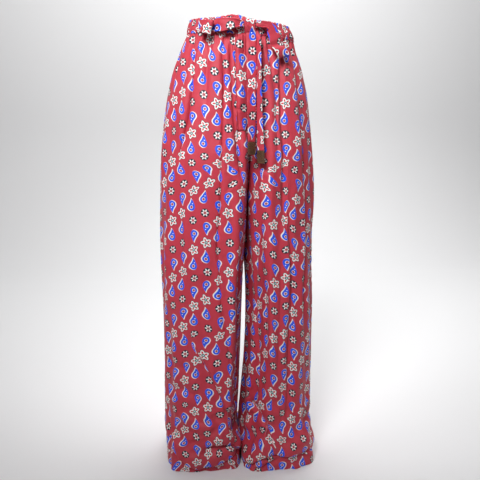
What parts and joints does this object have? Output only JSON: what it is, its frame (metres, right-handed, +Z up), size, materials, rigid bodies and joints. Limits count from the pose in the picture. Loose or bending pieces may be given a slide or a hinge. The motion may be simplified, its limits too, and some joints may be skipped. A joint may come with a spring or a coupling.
{
  "type": "pyjama trousers",
  "caption": "Wide-leg pyjama trousers, hollow as worn and full length, with a gathered elastic waistband, a mock fly and a belt tied in a bow, its ends in leather tips.",
  "frame": {"origin": "centre of the waist ring, inside the waistband and half way up it, where the wearer's waist holds the trousers", "axes": "+Z up towards the wearer's head, -Y the front of the garment, +X the wearer's left"},
  "size_m": [0.3562, 0.2556, 1.0096],
  "materials": {
    "printed_silk": "crimson silk twill with a blue, white and teal print, soft satin sheen",
    "brown_leather": "smooth dark brown leather, semi-matt"
  },
  "bodies": {
    "root": {"front_right": "printed_silk", "front_left": "printed_silk", "back_right": "printed_silk", "back_left": "printed_silk", "waistband": "printed_silk", "fly_placket": "printed_silk", "bow_knot": "printed_silk", "bow_loop_right": "printed_silk", "bow_loop_left": "printed_silk", "tie_tail_a": "printed_silk", "tie_tail_b": "printed_silk", "tip_a": "brown_leather", "tip_b": "brown_leather"}
  },
  "joints": []
}
